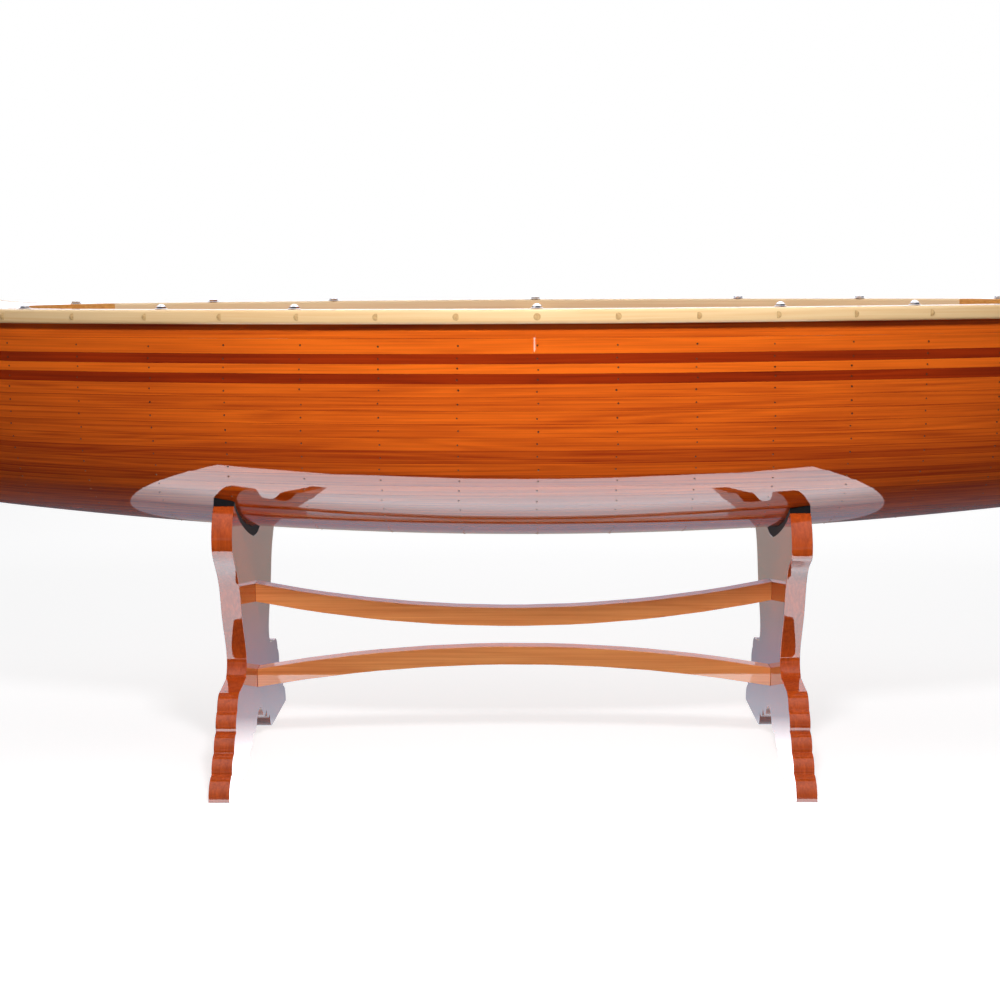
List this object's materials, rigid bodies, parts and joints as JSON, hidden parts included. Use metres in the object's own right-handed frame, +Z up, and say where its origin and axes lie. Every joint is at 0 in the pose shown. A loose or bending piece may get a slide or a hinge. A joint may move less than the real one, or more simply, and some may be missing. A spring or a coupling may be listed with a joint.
{
  "type": "canoe",
  "caption": "Small open cedar-strip canoe with maple rails, decks and two caned seats, resting in the padded cradles of a carved wooden display stand.",
  "frame": {"origin": "on the floor, under the middle of the canoe", "axes": "+X along the canoe to the bow, +Y to port, +Z up"},
  "size_m": [1.8218, 0.5382, 0.6388],
  "materials": {
    "cedar": "varnished orange cedar, high gloss",
    "accent_cedar": "varnished dark cedar, high gloss",
    "pale_maple": "varnished pale maple, satin gloss",
    "rail_maple": "varnished pale maple, satin gloss",
    "plug_wood": "end-grain plug, varnished",
    "rib_wood": "varnished ash",
    "backbone_wood": "varnished hardwood",
    "deck_wood": "varnished hardwood",
    "seat_wood": "varnished ash",
    "cane": "woven cane, clear lacquer",
    "stand_wood": "varnished hardwood, high gloss",
    "felt": "black felt",
    "steel": "plain steel",
    "chrome": "polished chrome plate",
    "brass": "plain brass"
  },
  "bodies": {
    "stand": {"left_cradle_pad": "felt", "left_stand_board": "stand_wood", "lower_stretcher": "stand_wood", "right_cradle_pad": "felt", "right_stand_board": "stand_wood", "stretcher_bolts": "steel", "stretcher_inserts": "steel", "upper_stretcher": "stand_wood"},
    "canoe": {"acorn_nuts": "chrome", "bolt_washers": "chrome", "bow_deck": "deck_wood", "bow_deck_beam": "seat_wood", "bow_inner_stem": "backbone_wood", "bow_outer_stem": "backbone_wood", "bow_seat_cane": "cane", "bow_seat_cross_rails": "seat_wood", "bow_seat_side_rails": "seat_wood", "centre_thwart": "seat_wood", "deck_beam_bolts": "steel", "gunwale_plugs": "plug_wood", "gunwale_screws": "brass", "keel_plank": "backbone_wood", "port_bilge_strips": "cedar", "port_bottom_strips": "cedar", "port_inwale": "rail_maple", "port_lower_accent_strip": "accent_cedar", "port_middle_strip": "cedar", "port_outwale": "pale_maple", "port_sheer_strips": "cedar", "port_side_strips": "cedar", "port_upper_accent_strip": "accent_cedar", "ribs": "rib_wood", "seat_bolts": "steel", "seat_spacers": "seat_wood", "starboard_bilge_strips": "cedar", "starboard_bottom_strips": "cedar", "starboard_inwale": "rail_maple", "starboard_lower_accent_strip": "accent_cedar", "starboard_middle_strip": "cedar", "starboard_outwale": "pale_maple", "starboard_sheer_strips": "cedar", "starboard_side_strips": "cedar", "starboard_upper_accent_strip": "accent_cedar", "stern_deck": "deck_wood", "stern_deck_beam": "seat_wood", "stern_inner_stem": "backbone_wood", "stern_outer_stem": "backbone_wood", "stern_seat_cane": "cane", "stern_seat_cross_rails": "seat_wood", "stern_seat_side_rails": "seat_wood", "thwart_bolts": "steel"}
  },
  "joints": [
    {"name": "canoe_lift", "type": "slide", "parent": "stand", "child": "canoe", "axis": [0, 0, 1], "range_m": [0, 0.3]}
  ]
}
